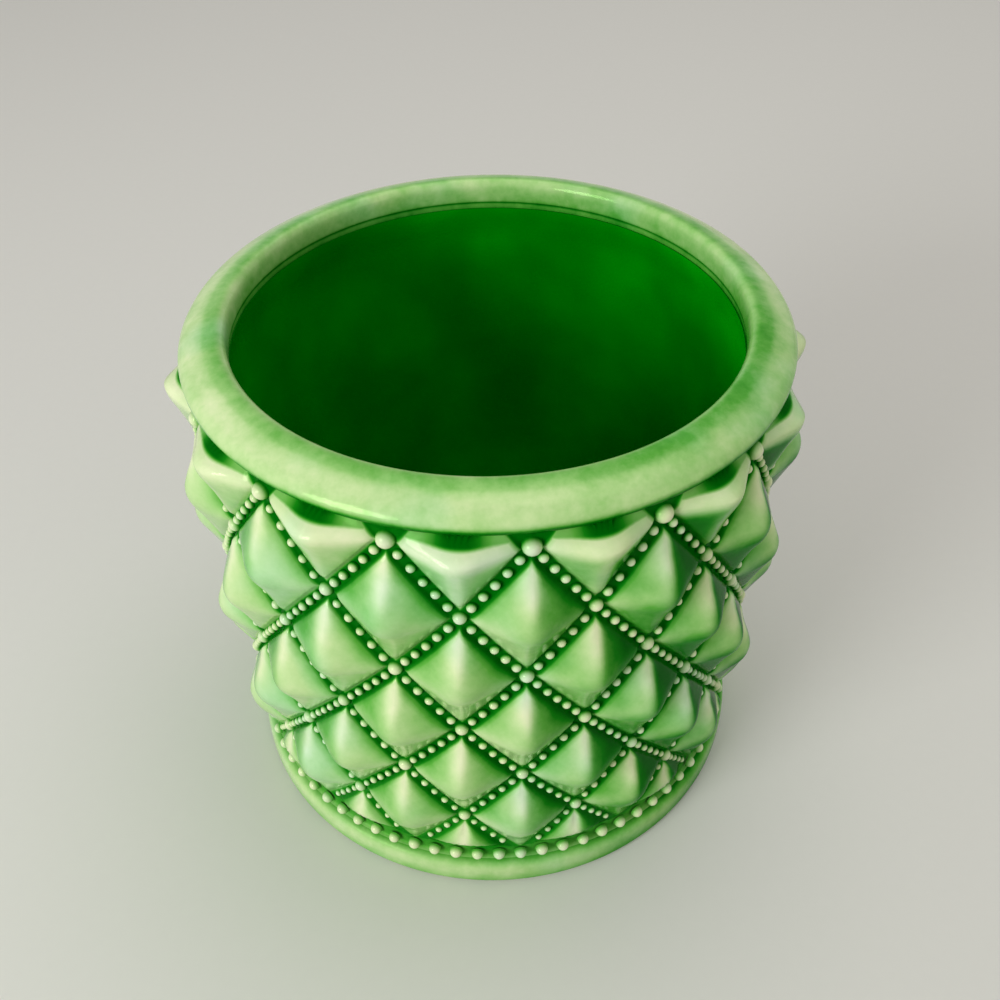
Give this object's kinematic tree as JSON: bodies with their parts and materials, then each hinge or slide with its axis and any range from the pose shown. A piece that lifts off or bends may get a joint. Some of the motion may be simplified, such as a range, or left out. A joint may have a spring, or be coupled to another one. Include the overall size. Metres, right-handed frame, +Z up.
{
  "type": "ceramic planter",
  "caption": "Round glazed ceramic planter: rolled rim, quilted wall of raised pyramids between crossing bead lines, beaded base and smooth foot.",
  "frame": {"origin": "on the planter's axis, in the plane of the table that the foot stands on", "axes": "+Z up along the planter's axis, towards the rim; -Y towards the side that the picture shows in front; +X to the picture's right"},
  "size_m": [0.1391, 0.1386, 0.1257],
  "materials": {
    "glaze_foot": "glossy",
    "glaze_inside": "glossy",
    "glaze_base": "glossy",
    "glaze_wall": "glossy",
    "glaze_rim": "glossy"
  },
  "bodies": {
    "root": {"foot_ring": "glaze_foot", "floor_slab": "glaze_inside", "base_bead_ring": "glaze_base", "quilted_wall": "glaze_wall", "rim_band": "glaze_rim"}
  },
  "joints": []
}
